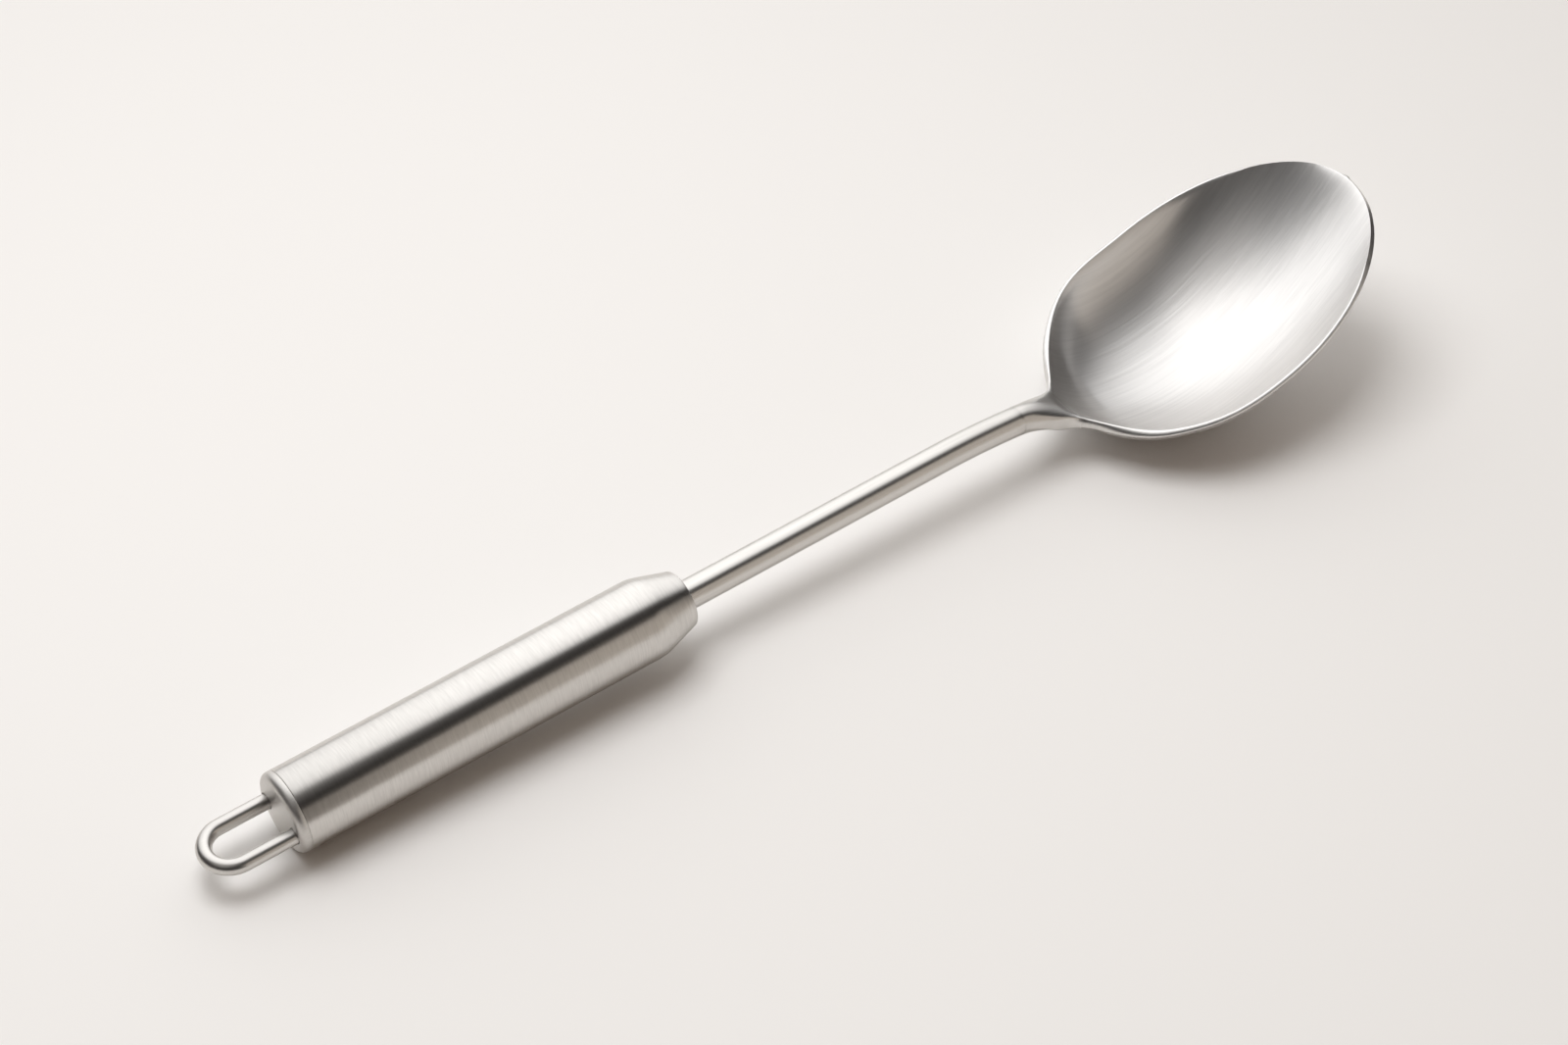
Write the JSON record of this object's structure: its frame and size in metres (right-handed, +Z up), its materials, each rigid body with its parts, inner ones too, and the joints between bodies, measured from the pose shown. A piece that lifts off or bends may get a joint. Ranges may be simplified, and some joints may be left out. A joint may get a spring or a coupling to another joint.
{
  "type": "serving spoon",
  "caption": "Long serving spoon with a deep oval bowl, a round shaft, a hollow tube handle drawn to a cone, and a wire hanging loop in a turned end cap.",
  "frame": {"origin": "on the table under the middle of the spoon's length and width, as it lies at rest", "axes": "+X from the hanging loop towards the bowl's tip, +Z up out of the open bowl"},
  "size_m": [0.3322, 0.0662, 0.0432],
  "materials": {
    "satin_steel": "satin, brushed along the bowl",
    "brushed_tube": "fine brushing round the tube",
    "bright_wire": "bright drawn wire",
    "inner_steel": "as turned, out of sight"
  },
  "bodies": {
    "root": {"bowl": "satin_steel", "shaft": "satin_steel", "handle_tube": "brushed_tube", "nose_bush": "inner_steel", "locating_disc": "inner_steel", "end_cap": "brushed_tube", "hanging_loop": "bright_wire", "loop_collars": "inner_steel"}
  },
  "joints": []
}
